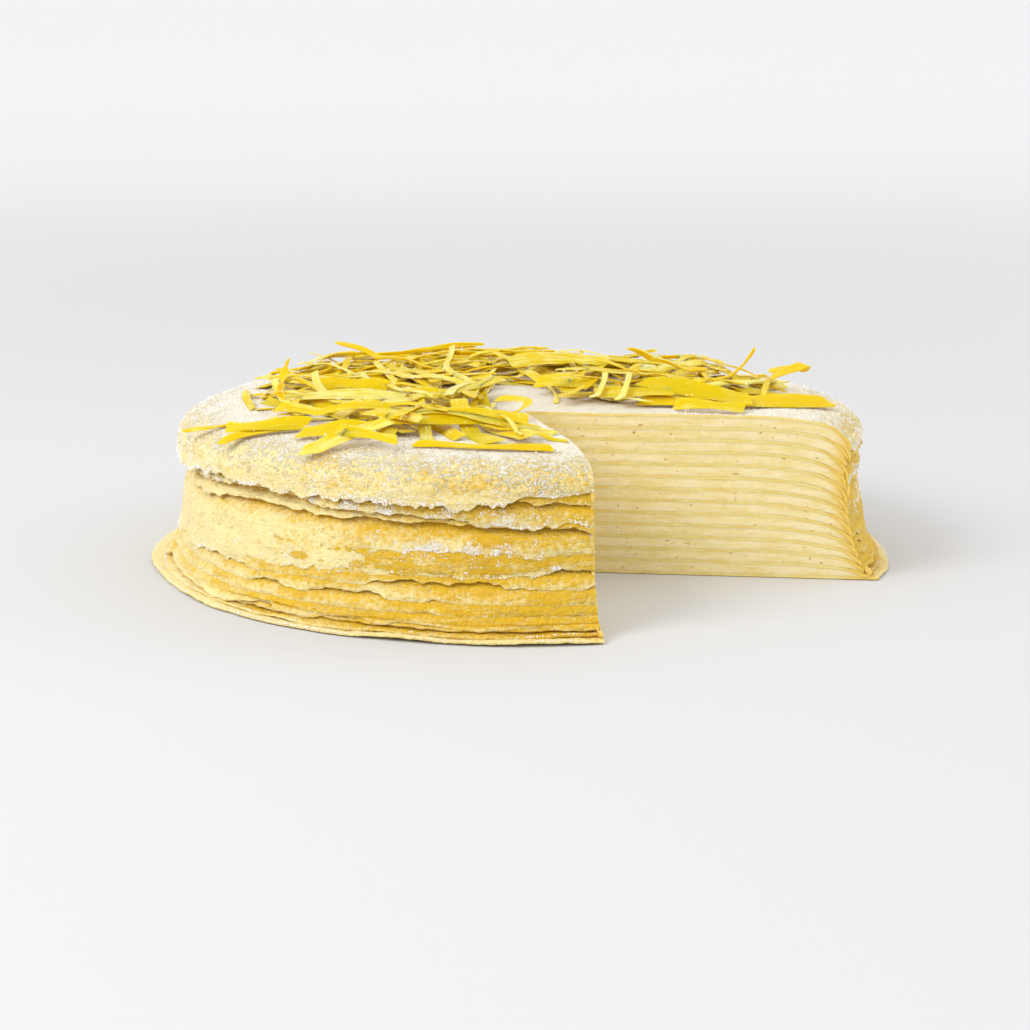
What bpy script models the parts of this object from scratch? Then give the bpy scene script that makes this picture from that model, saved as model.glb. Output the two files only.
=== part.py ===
"""A mille crepe cake with one slice taken out: fourteen crepes with cream between them, rims hanging down
the side, and strips of candied citrus peel on top, most of them in one loose heap.

Metres, +Z up. The origin is the middle of the underside, which lies flat at z = 0. The missing slice opens
towards +X and -Y. Crepes and creams are numbered from the bottom.
"""

import math

import bmesh
import bpy
import numpy as np
from mathutils import Vector
from mathutils.bvhtree import BVHTree

MM = 0.001

# The stack
CREPES = 14
TOP = CREPES - 1
PITCH = 4.0 * MM  # one crepe and the cream on it
CREPE_THICKNESS = 1.0 * MM
GAP = 0.4 * MM  # kept between neighbouring pieces, measured upright
FOOT_RADIUS = 126 * MM  # the bottom crepe, spread flat
FOOT_WAVE = 2.5 * MM  # how much less it is here and there

# How the rims bend down: a slow sag, then a steep fall round the side
SAG_START = 84 * MM
SAG_TOP = 4.0  # per metre, in the top crepe, and none in the bottom one
SAG_MIDDLE = 3.5  # per metre, added halfway up
FALL_RADIUS = 109.5 * MM
FALL_SLOPE = 2.3
FALL_SOFTNESS = 1.5 * MM
FOOT_FLARE = 9 * MM  # the lowest rims bend this much further out
BRIM = 2.0 * MM  # and the top one this much
SIDE_WAVE = 1.2 * MM

# How a crepe comes to lie on the one below: it is held up to a little past that one's rim, and both the end of
# that hold and the touch itself are eased
HELD_PAST_RIM = 3 * MM
HOLD_SOFTNESS = 0.7 * MM
TOUCH_SOFTNESS = 0.6 * MM
TOUCH_SLOPE_SOFTNESS = 0.5 * MM

# How far each rim reaches past its fall, from the bottom crepe up: the long ones hide the ends of the short
# ones. The bottom crepe has a radius instead.
REACHES = [r * MM for r in (0, 3.0, 0.5, 4.0, 2.6, 1.6, -0.5, 0, 3.8, 3.2, -0.5, 3.2, -0.5, 3.0)]
REACH_WAVE = 1.1 * MM

# The missing slice: its point and the directions of its two cuts
SLICE_POINT = (1 * MM, -31 * MM)
NEAR_CUT = math.radians(-76)
FAR_CUT = math.radians(-7)
SECTIONS = 29  # upright sections from one cut round to the other
REACH_STEPS = 8
WELD = 0.001 * MM
CREASE = math.radians(40)  # edges sharper than this are shown sharp

# Where the sections have corners
SAG_RING = 93 * MM
BEFORE_FALL = -2.5 * MM  # from the radius at which the crepe falls
IN_FALL = 2.0 * MM  # only where the rim reaches well past this
HANGING_REACH = 1.2 * MM  # how far past the fall that is
LAST_RING_BACK = 1.5 * MM  # no ring is closer than this to a rim
CREAM_SETBACK = 4.5 * MM  # from where the crepe above falls
CREAM_TOP_SETBACK = 2.0 * MM  # more under the top crepe
CREAM_EDGE_ROUNDING = 0.32  # of its thickness, taken off its edge above and below
CREAM_EDGE_WIDTH = 1 * MM  # over which that happens
CREAM_EDGE_SOFTNESS = 0.3 * MM

# The heap of peel
HEAP_SECTIONS = 26
HEAP_SHARES = (0.0, 0.1, 0.4, 0.7, 0.92, 1.0)  # where its sections have corners, from inner to outer edge
HEAP_FAR_INSET = math.radians(3.5)  # from the far cut; at the near cut it is cut through
HEAP_REACH = 95 * MM
HEAP_OUTLINE_WAVE = 6 * MM
HEAP_START = 10 * MM  # from the slice's point
HEAP_BARE_DEPTH = 50 * MM  # the bare patch behind the slice's point
HEAP_BARE_ANGLE = math.radians(84)
HEAP_BARE_SPREAD = math.radians(24)
HEAP_FOOT = 2.0 * MM
HEAP_CROWN = 5.0 * MM
HEAP_BUMPS = 4.5 * MM

# Strips of peel that lie or stand apart from the heap: where each starts, bends and ends, in plan, how high
# it is there above what it lies on, and how wide it is, all in millimetres
STRIP_THICKNESS = 1.2 * MM
STRIP_STATIONS = 8
STRIP_DROP = 2.5 * MM  # the most that a strip falls from one station to the next
STRIP_PROBES_ALONG = (-1, -0.5, 0, 0.5, 1)  # where the ground is felt for, in stations
STRIP_PROBES_ACROSS = (-0.6, 0, 0.6)  # and in widths
STRIPS = {
    "peel_stub": ((-78, -36), (-77, -35), (-75, -34), (0, 6, 12), 3.5),
    "peel_rising_left": ((-30, 26), (-46, 40), (-66, 46), (0, 1, 4.5), 3),
    "peel_over_shoulder": ((-68, -66), (-84, -68), (-93, -70), (0, 0, 0), 3),
    "peel_far_left": ((-90, -52), (-99, -50), (-107, -51), (0, 0, 1.5), 2),
    "peel_crossed_one": ((62, -6), (43, -2), (25, 6), (0, 2, 7), 3),
    "peel_crossed_two": ((64, 14), (50, 8), (36, -6), (0, 2.5, 7.5), 3),
    "peel_thin_upright": ((66, 6), (74, 4), (79, 2), (0, 3, 10), 2),
    "peel_curl": ((84, -4), (97, 8), (86, 20), (1, 6, 3), 4),
    "peel_front": ((-32, -92), (-10, -97), (9, -99), (0, 0, 0), 3),
    "peel_far_ribbon": ((40, -20), (74, -24), (102, -17), (0, 0, 0), 7),
}

COLOURS = {
    "crepe": ((0.84, 0.62, 0.20), 0.55),
    "cream": ((0.90, 0.78, 0.45), 0.50),
    "peel": ((0.80, 0.55, 0.02), 0.35),
}


def wave(angle, seed, orders):
    """A smooth ripple round the cake, within 1 of zero: sines of the given orders, their phases from seed."""
    total = sum(np.sin(n * angle + 2.4 * (seed + 1) * n) / n**0.5 for n in orders)
    return total / sum(1 / n**0.5 for n in orders)


def smooth_step(distance, width):
    """From 0 to 1 as the distance goes from well below zero to well above it."""
    return 1 / (1 + np.exp(-np.clip(distance / width, -40, 40)))


def fall_radius(level, angle):
    """Where this crepe turns down: the side flares towards the foot, and the top crepe hangs outside the rest."""
    share = level / TOP
    flare = FOOT_FLARE * (1 - share) ** 2 + BRIM * share**6
    return FALL_RADIUS + flare + SIDE_WAVE * wave(angle, 0.3 * share, (2, 3, 5))


def rim_radius(level, angle):
    """Where this crepe ends."""
    if level == 0:
        return FOOT_RADIUS - FOOT_WAVE * np.sin(2 * angle) ** 2 * (1 + wave(angle, 4, (3, 5)))
    return fall_radius(level, angle) + REACHES[level] + REACH_WAVE * wave(angle, level, (2, 3, 4, 7))


def hung(level, radius, angle):
    """The height and slope of this crepe's underside if nothing held it up."""
    share = level / TOP
    sag = SAG_TOP * share + 4 * SAG_MIDDLE * share * (1 - share)
    inside = np.maximum(radius - SAG_START, 0)
    past = (radius - fall_radius(level, angle)) / FALL_SOFTNESS
    height = level * PITCH - sag * inside**2 - FALL_SLOPE * FALL_SOFTNESS * np.logaddexp(0, past)
    slope = 2 * sag * inside + FALL_SLOPE * smooth_step(past, 1)
    return height, slope


def stack(radius, angle):
    """The underside and upper face of every crepe here: each hangs, or lies on the one below if that is higher."""
    lows = [np.zeros_like(radius)]
    highs = [np.full_like(radius, CREPE_THICKNESS)]
    floor = np.zeros_like(radius)
    for level in range(1, CREPES):
        covered = smooth_step(rim_radius(level - 1, angle) + HELD_PAST_RIM - radius, HOLD_SOFTNESS)
        floor = floor + covered * (highs[-1] + GAP - floor)
        height, slope = hung(level, radius, angle)
        spare = height - floor
        low = floor + (spare + np.sqrt(spare**2 + TOUCH_SOFTNESS**2)) / 2
        slope = slope * smooth_step(spare, TOUCH_SLOPE_SOFTNESS)
        lows.append(low)
        highs.append(low + CREPE_THICKNESS * np.sqrt(1 + slope**2))
    return lows, highs


def cream_radius(level, angle):
    """Where the cream on this crepe ends."""
    share = level / TOP
    return fall_radius(level + 1, angle) - CREAM_SETBACK - CREAM_TOP_SETBACK * share**4


def on_ray(direction, distance):
    """x, y, radius and angle about the middle, of the points this far from the slice's point."""
    x = SLICE_POINT[0] + distance * np.cos(direction)
    y = SLICE_POINT[1] + distance * np.sin(direction)
    return x, y, np.hypot(x, y), np.arctan2(y, x)


def reach_of(direction, edge):
    """The distance from the slice's point to an edge whose radius depends on the angle about the middle.

    Each of the REACH_STEPS takes the angle from the last one's distance."""
    along = SLICE_POINT[0] * np.cos(direction) + SLICE_POINT[1] * np.sin(direction)
    distance = np.full_like(direction, FALL_RADIUS)
    for _ in range(REACH_STEPS):
        radius = edge(on_ray(direction, distance)[3])
        distance = np.sqrt(along**2 - SLICE_POINT[0] ** 2 - SLICE_POINT[1] ** 2 + radius**2) - along
    return distance


def section_directions(inset, count):
    """Directions of upright sections from the slice's point, evenly spaced where they meet the side."""
    ends = np.array([FAR_CUT + inset, 2 * math.pi + NEAR_CUT])
    x, y, _, _ = on_ray(ends, reach_of(ends, lambda angle: FALL_RADIUS + 0 * angle))
    first, last = np.arctan2(y, x)
    angles = np.linspace(first, last + 2 * math.pi, count)
    x = FALL_RADIUS * np.cos(angles) - SLICE_POINT[0]
    y = FALL_RADIUS * np.sin(angles) - SLICE_POINT[1]
    return np.unwrap(np.arctan2(y, x))


def loft(name, sections, material):
    """One closed body through unlike sections: each a loop of points, joined to the next and capped at the ends."""
    shape = bmesh.new()
    loops = [[shape.verts.new(point) for point in section] for section in sections]
    for one, other in zip(loops, loops[1:]):
        for k, corner in enumerate(one):
            after = (k + 1) % len(one)
            shape.faces.new((corner, one[after], other[after], other[k]))
    for end in (loops[0], loops[-1]):
        shape.faces.new(end)
    bmesh.ops.remove_doubles(shape, verts=shape.verts, dist=WELD)
    bmesh.ops.triangulate(shape, faces=[face for face in shape.faces if len(face.verts) > 4])
    bmesh.ops.recalc_face_normals(shape, faces=shape.faces)
    mesh = bpy.data.meshes.new(name)
    shape.to_mesh(mesh)
    shape.free()
    mesh.set_sharp_from_angle(angle=CREASE)
    mesh.materials.append(material)
    body = bpy.data.objects.new(name, mesh)
    bpy.data.collections["Crepe cake"].objects.link(body)
    return body


def sag_ring(angle):
    """The radius of the corners where every layer begins to sag."""
    return np.full_like(angle, SAG_RING)


def layer_sections(directions, rings, edge, faces):
    """Sections of one layer: out along its lower face and back along its upper one, from the slice's point."""
    end = reach_of(directions, edge)
    distances = [np.zeros_like(directions)]
    for ring in rings:
        distances.append(np.minimum(reach_of(directions, ring), end - LAST_RING_BACK))
    distances.append(end)
    out, back = [], []
    for distance in distances:
        x, y, radius, angle = on_ray(directions, distance)
        low, high = faces(radius, angle)
        out.append(np.stack([x, y, low], axis=-1))
        back.append(np.stack([x, y, high], axis=-1))
    return np.stack(out + back[::-1], axis=1)


def make_crepe(level, directions, material):
    """One crepe: flat over the cream, bent down at the side. The bottom one is flat to its edge."""

    def faces(radius, angle):
        lows, highs = stack(radius, angle)
        return lows[level], highs[level]

    rings = [sag_ring, lambda angle: fall_radius(level, angle) + BEFORE_FALL]
    if REACHES[level] > HANGING_REACH:
        rings.append(lambda angle: fall_radius(level, angle) + IN_FALL)
    sections = layer_sections(directions, rings, lambda angle: rim_radius(level, angle), faces)
    return loft(f"crepe_{level + 1:02d}", sections, material)


def make_cream(level, directions, material):
    """The cream on one crepe, filling the room under the next."""

    def faces(radius, angle):
        lows, highs = stack(radius, angle)
        low, high = highs[level] + GAP, lows[level + 1] - GAP
        edge = smooth_step(radius - cream_radius(level, angle) + CREAM_EDGE_WIDTH, CREAM_EDGE_SOFTNESS)
        rounding = CREAM_EDGE_ROUNDING * (high - low) * edge
        return low + rounding, high - rounding

    sections = layer_sections(directions, [sag_ring], lambda angle: cream_radius(level, angle), faces)
    return loft(f"cream_{level + 1:02d}", sections, material)


def top_height(radius, angle):
    """The height of the cake's upper face."""
    return stack(radius, angle)[1][TOP]


def heap_rise(share, angle):
    """How high the heap is, this share of the way from its inner to its outer edge: a crown with bumps on it."""
    crown = math.sin(math.pi * share) ** 0.5
    bump = np.maximum(wave(angle + 3 * share, 6, (5, 9)), 0)
    return HEAP_FOOT + crown * (HEAP_CROWN - HEAP_FOOT + HEAP_BUMPS * bump)


def make_heap(material):
    """The heap of peel, out to its uneven outline: a low crowned pad with bumps, bare behind the slice's point."""
    directions = section_directions(HEAP_FAR_INSET, HEAP_SECTIONS)
    off = (directions - HEAP_BARE_ANGLE) / HEAP_BARE_SPREAD
    start = HEAP_START + HEAP_BARE_DEPTH * np.exp(-(off**2))
    end = reach_of(directions, lambda angle: HEAP_REACH + HEAP_OUTLINE_WAVE * wave(angle, 6, (3, 5, 8)))
    low, high = [], []
    for share in HEAP_SHARES:
        x, y, radius, angle = on_ray(directions, start + share * (end - start))
        ground = top_height(radius, angle) + GAP
        low.append(np.stack([x, y, ground], axis=-1))
        high.append(np.stack([x, y, ground + heap_rise(share, angle)], axis=-1))
    return loft("peel_heap", np.stack(low + high[::-1], axis=1), material)


def through(points, share):
    """A smooth curve through three points, at shares 0, 0.5 and 1 of its way."""
    first, middle, last = (np.asarray(point, dtype=float) for point in points)
    share = share[:, None]
    bend = 4 * share * (1 - share) * middle
    return (1 - share) * (1 - 2 * share) * first + bend + share * (2 * share - 1) * last


def make_strip(name, ground, material):
    """One flat strip of peel along a curve, lying on whatever is under it, with no part of it sunk in."""
    *plan, lifts, width = STRIPS[name]
    width *= MM
    shares = np.linspace(0, 1, STRIP_STATIONS)
    middle = through(plan, shares) * MM
    along = np.gradient(middle, axis=0)
    side = np.stack([-along[:, 1], along[:, 0]], axis=-1)
    side /= np.linalg.norm(side, axis=1)[:, None]
    footprint = [(ahead, aside) for ahead in STRIP_PROBES_ALONG for aside in STRIP_PROBES_ACROSS]
    probes = [[place + a * ahead + b * width * aside for a, b in footprint] for place, ahead, aside in
              zip(middle, along, side)]
    rests = np.array([max(ground(x, y) for x, y in row) for row in probes])
    for _ in rests:
        for here, there in ((slice(1, None), slice(None, -1)), (slice(None, -1), slice(1, None))):
            rests[here] = np.maximum(rests[here], rests[there] - STRIP_DROP)
    height = rests + GAP + through([[lift] for lift in lifts], shares)[:, 0] * MM
    spine = np.column_stack([middle, height])
    across = np.column_stack([side, np.zeros(len(side))]) * width / 2
    up = np.cross(np.gradient(spine, axis=0), across)
    up *= STRIP_THICKNESS / np.linalg.norm(up, axis=1)[:, None]
    up *= np.sign(up[:, 2])[:, None]
    corners = [spine - across, spine + across, spine + across + up, spine - across + up]
    return loft(name, np.stack(corners, axis=1), material)


def ground_under(bodies):
    """A function that gives the height of the highest of these bodies at x, y, or 0 where there is none."""
    trees = []
    for body in bodies:
        corners = [corner.co for corner in body.data.vertices]
        trees.append(BVHTree.FromPolygons(corners, [face.vertices for face in body.data.polygons]))

    def ground(x, y):
        hits = [tree.ray_cast(Vector((x, y, 1)), Vector((0, 0, -1)))[0] for tree in trees]
        return max([0, *(hit.z for hit in hits if hit)])

    return ground


def make_material(name):
    colour, roughness = COLOURS[name]
    material = bpy.data.materials.new(name)
    material.use_nodes = True
    shader = material.node_tree.nodes["Principled BSDF"]
    shader.inputs["Base Color"].default_value = (*colour, 1)
    shader.inputs["Roughness"].default_value = roughness
    shader.inputs["Metallic"].default_value = 0
    material.diffuse_color = (*colour, 1)
    return material


def main():
    for thing in list(bpy.data.objects):
        bpy.data.objects.remove(thing)
    parts = bpy.data.collections.new("Crepe cake")
    bpy.context.scene.collection.children.link(parts)
    crepe, cream, peel = (make_material(name) for name in ("crepe", "cream", "peel"))
    directions = section_directions(0, SECTIONS)
    crepes = [make_crepe(level, directions, crepe) for level in range(CREPES)]
    for level in range(TOP):
        make_cream(level, directions, cream)
    heap = make_heap(peel)
    ground = ground_under([crepes[TOP], heap])
    for name in STRIPS:
        make_strip(name, ground, peel)


main()
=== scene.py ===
"""Dresses the crepe cake: soft crumpled crepes and set cream in place of the plain layers, loose strips of
candied peel in place of the plain heap, and sugar over all of it.

Metres, +Z up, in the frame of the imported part. Every layer is worked out from the same few sizes: a crepe lies
flat over the cream, sags towards the side and then falls steeply down it.
"""

import itertools
import math

import bpy
import numpy as np
from bpy.props import FloatProperty, FloatVectorProperty, IntProperty, PointerProperty
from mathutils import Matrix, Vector


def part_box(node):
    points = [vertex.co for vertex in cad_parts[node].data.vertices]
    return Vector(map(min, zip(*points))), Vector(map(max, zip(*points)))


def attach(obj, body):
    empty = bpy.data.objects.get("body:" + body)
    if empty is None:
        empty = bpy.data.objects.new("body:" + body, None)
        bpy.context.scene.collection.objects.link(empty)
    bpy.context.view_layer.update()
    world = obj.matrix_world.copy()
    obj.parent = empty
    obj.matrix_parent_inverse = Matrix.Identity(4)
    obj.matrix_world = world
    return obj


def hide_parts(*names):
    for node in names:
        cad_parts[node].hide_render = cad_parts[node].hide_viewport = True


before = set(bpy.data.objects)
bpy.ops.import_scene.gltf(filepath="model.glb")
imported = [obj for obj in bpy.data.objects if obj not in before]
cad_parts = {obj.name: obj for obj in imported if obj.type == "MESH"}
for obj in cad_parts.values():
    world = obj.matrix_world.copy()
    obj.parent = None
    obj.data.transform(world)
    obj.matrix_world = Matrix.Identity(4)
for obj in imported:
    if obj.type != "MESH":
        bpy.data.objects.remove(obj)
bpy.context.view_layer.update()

bl_info = {
    "name": "Crepe cake",
    "version": (1, 0, 0),
    "blender": (4, 5, 0),
    "location": "3D View > Sidebar > Crepe cake",
    "description": "Makes the crepes, cream, peel and sugar of a mille crepe cake with one slice taken out",
    "category": "Object",
}

MM = 0.001

CREPES = sum(name.startswith("crepe_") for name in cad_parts)
TOP = CREPES - 1
CREPE_NODES = [f"crepe_{level + 1:02d}" for level in range(CREPES)]
CREAM_NODES = [f"cream_{level + 1:02d}" for level in range(TOP)]
STRIP_NODES = sorted(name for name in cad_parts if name.startswith("peel_") and name != "peel_heap")
PITCH = (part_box(CREPE_NODES[TOP])[1].z - 1.0 * MM) / TOP  # one crepe and its cream

# The missing slice: its point and the directions of its two cuts
SLICE_POINT = (1 * MM, -31 * MM)
NEAR_CUT = math.radians(-76)
FAR_CUT = math.radians(-7)
SIDE = 0.11  # roughly the radius of the side
FOOT_RADIUS = 126 * MM  # of the spread bottom crepe, at its widest

# How far each rim reaches past its fall, from the bottom crepe up
REACHES = [r * MM for r in (0, 2.2, 1.0, 4.0, 3.0, 2.4, 1.6, 1.8, 3.8, 3.2, 2.2, 3.2, 2.2, 3.0)]

# On the left the layers above hang short and one hangs long over those below it
LEFT = math.radians(-153)
LEFT_WIDTH = math.radians(42)
LEFT_REACHES = {9: 4.4 * MM, 10: -1.2 * MM, 11: -2.2 * MM, 12: -1.2 * MM, 13: 2.2 * MM}

# How far the torn flaps of the low rims hang below the rest, in units of the raggedness
SCALLOPS = {2: 0.5, 3: 3.2, 4: 1.6, 5: 1.2, 6: 0.8}
PLEATED = 6  # the highest crepe whose rim is pleated

# One of the low rims has a longer flap, centred here
FLAP_LEVEL, FLAP, FLAP_WIDTH = 3, math.radians(-97), math.radians(5.5)


# ---------------------------------------------------------------- sizes that a user would change


LENGTH = {"unit": "LENGTH", "precision": 5}
COLOUR = {"subtype": "COLOR", "min": 0, "max": 1}


class StackSizes(bpy.types.PropertyGroup):
    """The crepes and the cream between them."""

    crepe_thickness: FloatProperty(name="Crepe thickness", description="Of one crepe", default=1.0 * MM, **LENGTH)
    sag_start: FloatProperty(
        name="Sag start", description="Radius inside which the layers lie flat", default=84 * MM, **LENGTH
    )
    fall_radius: FloatProperty(
        name="Fall radius", description="Radius at which the rims turn down", default=109.5 * MM, **LENGTH
    )
    fall_slope: FloatProperty(name="Fall slope", description="How steeply the rims hang", default=2.3)
    foot_flare: FloatProperty(
        name="Foot flare", description="How much further out the lowest rims hang", default=12 * MM, **LENGTH
    )
    ragged: FloatProperty(
        name="Raggedness", description="How uneven the edges of the crepes are", default=0.9 * MM, **LENGTH
    )
    crumple: FloatProperty(
        name="Crumple", description="Height of the soft folds in the hanging rims", default=0.9 * MM, **LENGTH
    )
    pale: FloatVectorProperty(
        name="Pale crepe", description="Colour of the crepes' thin edges", default=(0.96, 0.775, 0.37), **COLOUR
    )
    # Also the colour in which the painted shade under each edge is drawn
    gold: FloatVectorProperty(
        name="Golden crepe", description="Colour of the crepes in their folds", default=(0.80, 0.49, 0.03), **COLOUR
    )
    brown: FloatVectorProperty(
        name="Browned crepe", description="Colour of the browned patches", default=(0.60, 0.32, 0.03), **COLOUR
    )
    cream: FloatVectorProperty(
        name="Cream", description="Colour of the pastry cream", default=(0.87, 0.72, 0.345), **COLOUR
    )


class PeelSizes(bpy.types.PropertyGroup):
    """The strips of candied peel."""

    strips: IntProperty(name="Strips", description="How many strips are dropped on the heap", default=200, min=1)
    thickness: FloatProperty(name="Thickness", description="Of one strip", default=0.45 * MM, **LENGTH)
    zest: FloatVectorProperty(
        name="Zest", description="Colour of the outer side of the peel", default=(0.75, 0.46, 0.004), **COLOUR
    )
    pith: FloatVectorProperty(
        name="Pith", description="Colour of the inner side of the peel", default=(0.92, 0.73, 0.20), **COLOUR
    )


class SugarSizes(bpy.types.PropertyGroup):
    """The sugar on the top and side."""

    grains: IntProperty(name="Grains", description="How many loose grains lie on the cake", default=15000, min=1)
    side_grains: IntProperty(name="Side grains", description="How many cling to the side", default=20000, min=1)
    peel_grains: IntProperty(name="Peel grains", description="How many cling to the peel", default=3500, min=1)
    crumbs: IntProperty(name="Crumbs", description="How many hang on the edges of the crepes", default=9000, min=1)
    grain: FloatProperty(name="Grain", description="Typical radius of a grain", default=0.22 * MM, **LENGTH)
    colour: FloatVectorProperty(
        name="Sugar", description="Colour of the sugar", default=(0.97, 0.93, 0.86), **COLOUR
    )


class StageSizes(bpy.types.PropertyGroup):
    """The floor, the light and the camera."""

    floor: FloatVectorProperty(
        name="Floor", description="Colour of the floor", default=(0.625, 0.625, 0.63), **COLOUR
    )
    # The floor far away is painted lighter, as painted light where the lamps reach it less
    backdrop: FloatVectorProperty(
        name="Backdrop", description="Colour of the floor far away", default=(0.84, 0.84, 0.85), **COLOUR
    )
    key: FloatProperty(name="Key light", description="Power of the large lamp", default=12.5, unit="POWER")
    fill: FloatProperty(name="Fill light", description="Power of the lamp opposite", default=2.6, unit="POWER")
    sky: FloatProperty(name="Room light", description="Strength of the light from all round", default=1.08)
    lens: FloatProperty(name="Lens", description="Focal length in millimetres", default=78.27)


def sizes(group="stack"):
    return getattr(bpy.context.scene, "crepe_cake_" + group)


# ---------------------------------------------------------------- the form of the layers


def wave(angle, seed, orders):
    """A smooth ripple round the cake, within 1 of zero: sines of the given orders, their phases from seed."""
    total = sum(np.sin(n * angle + 2.4 * (seed + 1) * n) / n**0.5 for n in orders)
    return total / sum(1 / n**0.5 for n in orders)


def smooth_step(distance, width):
    """From 0 to 1 as the distance goes from well below zero to well above it."""
    return 1 / (1 + np.exp(-np.clip(distance / width, -40, 40)))


def noise(points, size, seed=0):
    """Smooth noise within 1 of zero: random numbers at the corners of cubes of this size, blended in between."""
    scaled = points / size + 17.31 * seed + 900.5
    cell = np.floor(scaled).astype(np.int64)
    part = scaled - cell
    part = part * part * (3 - 2 * part)
    total = np.zeros(points.shape[:-1])
    for corner in itertools.product((0, 1), repeat=3):
        # Large primes and shifts mix the corner's whole numbers into one that looks random
        key = (cell + np.array(corner)) @ np.array([73856093, 19349663, 83492791])
        key = ((key ^ (key >> 13)) * 1274126177) & 0x7FFFFFFF
        key = ((key ^ (key >> 15)) * 668265263) & 0x7FFFFFFF
        weight = np.prod(np.where(np.array(corner) == 1, part, 1 - part), axis=-1)
        total += weight * ((key >> 8) % 4096 / 2048 - 1)
    return total


def noises(points, *terms):
    """A sum of noises, each given as its share, its size in millimetres and its seed."""
    return sum(share * noise(points, size * MM, seed) for share, size, seed in terms)


def plan(radius, angle):
    """x and y of the points at this radius and angle about the middle."""
    return radius * np.cos(angle), radius * np.sin(angle)


def around(radius, angle, z):
    """The points (radius cos angle, radius sin angle, z)."""
    return np.stack([*plan(radius, angle), z], axis=-1)


def on_circle(angle, seed):
    """Points on a circle of radius 115 mm, at a height of their own for each seed: where edge noise is read."""
    return around(0.115, angle, np.full_like(angle, 0.37 * seed))


def turned(angle):
    """The same angle, from -pi up to pi."""
    return np.mod(angle + math.pi, 2 * math.pi) - math.pi


def hump(distance, width, power=2):
    """A smooth hump, exp(-(distance / width)^power), 1 where the distance is zero."""
    return np.exp(-((distance / width) ** power))


def fall_radius(level, angle):
    """Where this crepe turns down: the side flares towards the foot, and the top crepe hangs outside the rest."""
    share = level / TOP
    flare = sizes().foot_flare * (1 - share) ** 2.3 + 1.4 * MM * share**6
    return sizes().fall_radius + flare + 1.2 * MM * wave(angle, 0.3 * share, (2, 3, 5))


def rim_radius(level, angle):
    """Where this crepe ends, without its raggedness."""
    if level == 0:
        shrunk = 2.5 * np.sin(2 * angle) ** 2 * (1 + wave(angle, 4, (3, 5))) + 3.5 * hump(angle - 0.4, 0.5)
        return FOOT_RADIUS - shrunk * MM
    reach = REACHES[level] + LEFT_REACHES.get(level, 0) * hump(turned(angle - LEFT), LEFT_WIDTH, 4)
    return fall_radius(level, angle) + reach + 1.1 * MM * wave(angle, level, (2, 3, 4, 7))


def ragged_rim(level, angle):
    """Where this crepe ends, torn and uneven: several sizes of noise along its edge, and flaps on the low crepes."""
    place = on_circle(angle, level + 1)
    tears = noises(place, (1.1, 17, level), (0.6, 7, level + 20), (0.28, 3.4, level), (0.3, 1.5, level + 7))
    tears = tears + 1.5 * np.maximum(noise(place, 9 * MM, level + 31) - 0.5, 0)
    if level in SCALLOPS:
        flaps = smooth_step(noise(place, 13 * MM, level + 60) - 0.1, 0.06) + 0.5 * noise(place, 20 * MM, level + 70)
        tears = tears + SCALLOPS[level] * flaps
    flap = 4.6 * hump(angle - FLAP, FLAP_WIDTH, 4) if level == FLAP_LEVEL else 0
    return rim_radius(level, angle) + sizes().ragged * (tears - 0.3) * (1 if level else 0.7) + flap * MM / 3


def from_point(x, y):
    """Distance and direction, from 0 to a whole turn, of these places from the slice's point."""
    dx, dy = x - SLICE_POINT[0], y - SLICE_POINT[1]
    return np.hypot(dx, dy), np.mod(np.arctan2(dy, dx), 2 * math.pi)


def from_cuts(x, y):
    """How far these places lie from the nearer of the two cuts."""
    away, direction = from_point(x, y)
    to_far = away * np.sin(np.clip(direction - FAR_CUT, 0, math.pi / 2))
    to_near = away * np.sin(np.clip(2 * math.pi + NEAR_CUT - direction, 0, math.pi / 2))
    return np.minimum(to_far, to_near)


def tuck(level, radius, angle, height):
    """How far a hanging rim is drawn in where the rims outside it cover it, so that it can't show through them.

    1.2 mm times three soft steps: over 1.2 mm higher than the lowest edge outside it, over 2.2 mm past its fall, and
    over 6 mm from the cuts.
    """
    covered = smooth_step(height - cover_height(level, angle) - 1.2 * MM, 0.3 * MM)
    hanging = smooth_step(radius - fall_radius(level, angle) - 2.2 * MM, 0.4 * MM)
    clear = smooth_step(from_cuts(*plan(radius, angle)) - 6 * MM, 1 * MM)
    return 1.2 * MM * covered * hanging * clear


def hung(level, radius, angle):
    """The height and slope of this crepe's underside if nothing held it up.

    The pitches below it, less sag times the square of the way past the sag's start, less the fall's slope times a
    soft ramp of the way past the fall: softness times log(1 + exp(way / softness)).
    """
    share = level / TOP
    softness = 1.5 * MM
    sag = 4.0 * share + 14.0 * share * (1 - share)
    inside = np.maximum(radius - sizes().sag_start, 0)
    past = (radius - fall_radius(level, angle)) / softness
    height = level * PITCH - sag * inside**2 - sizes().fall_slope * softness * np.logaddexp(0, past)
    slope = 2 * sag * inside + sizes().fall_slope * smooth_step(past, 1)
    return height, slope


def stack(radius, angle, upto):
    """The height and slope of this crepe's underside: it hangs, or lies on the one below where that is higher."""
    floor = np.zeros_like(radius)
    low = np.zeros_like(radius)
    slope = np.zeros_like(radius)
    high = np.full_like(radius, sizes().crepe_thickness)
    for level in range(1, upto + 1):
        covered = smooth_step(rim_radius(level - 1, angle) + 3 * MM - radius, 0.7 * MM)
        floor = floor + covered * (high + 0.15 * MM - floor)
        height, slope = hung(level, radius, angle)
        spare = height - floor
        low = floor + (spare + np.sqrt(spare**2 + (0.6 * MM) ** 2)) / 2
        slope = slope * smooth_step(spare, 0.5 * MM)
        high = low + sizes().crepe_thickness * np.sqrt(1 + slope**2)
    return low, slope


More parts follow.
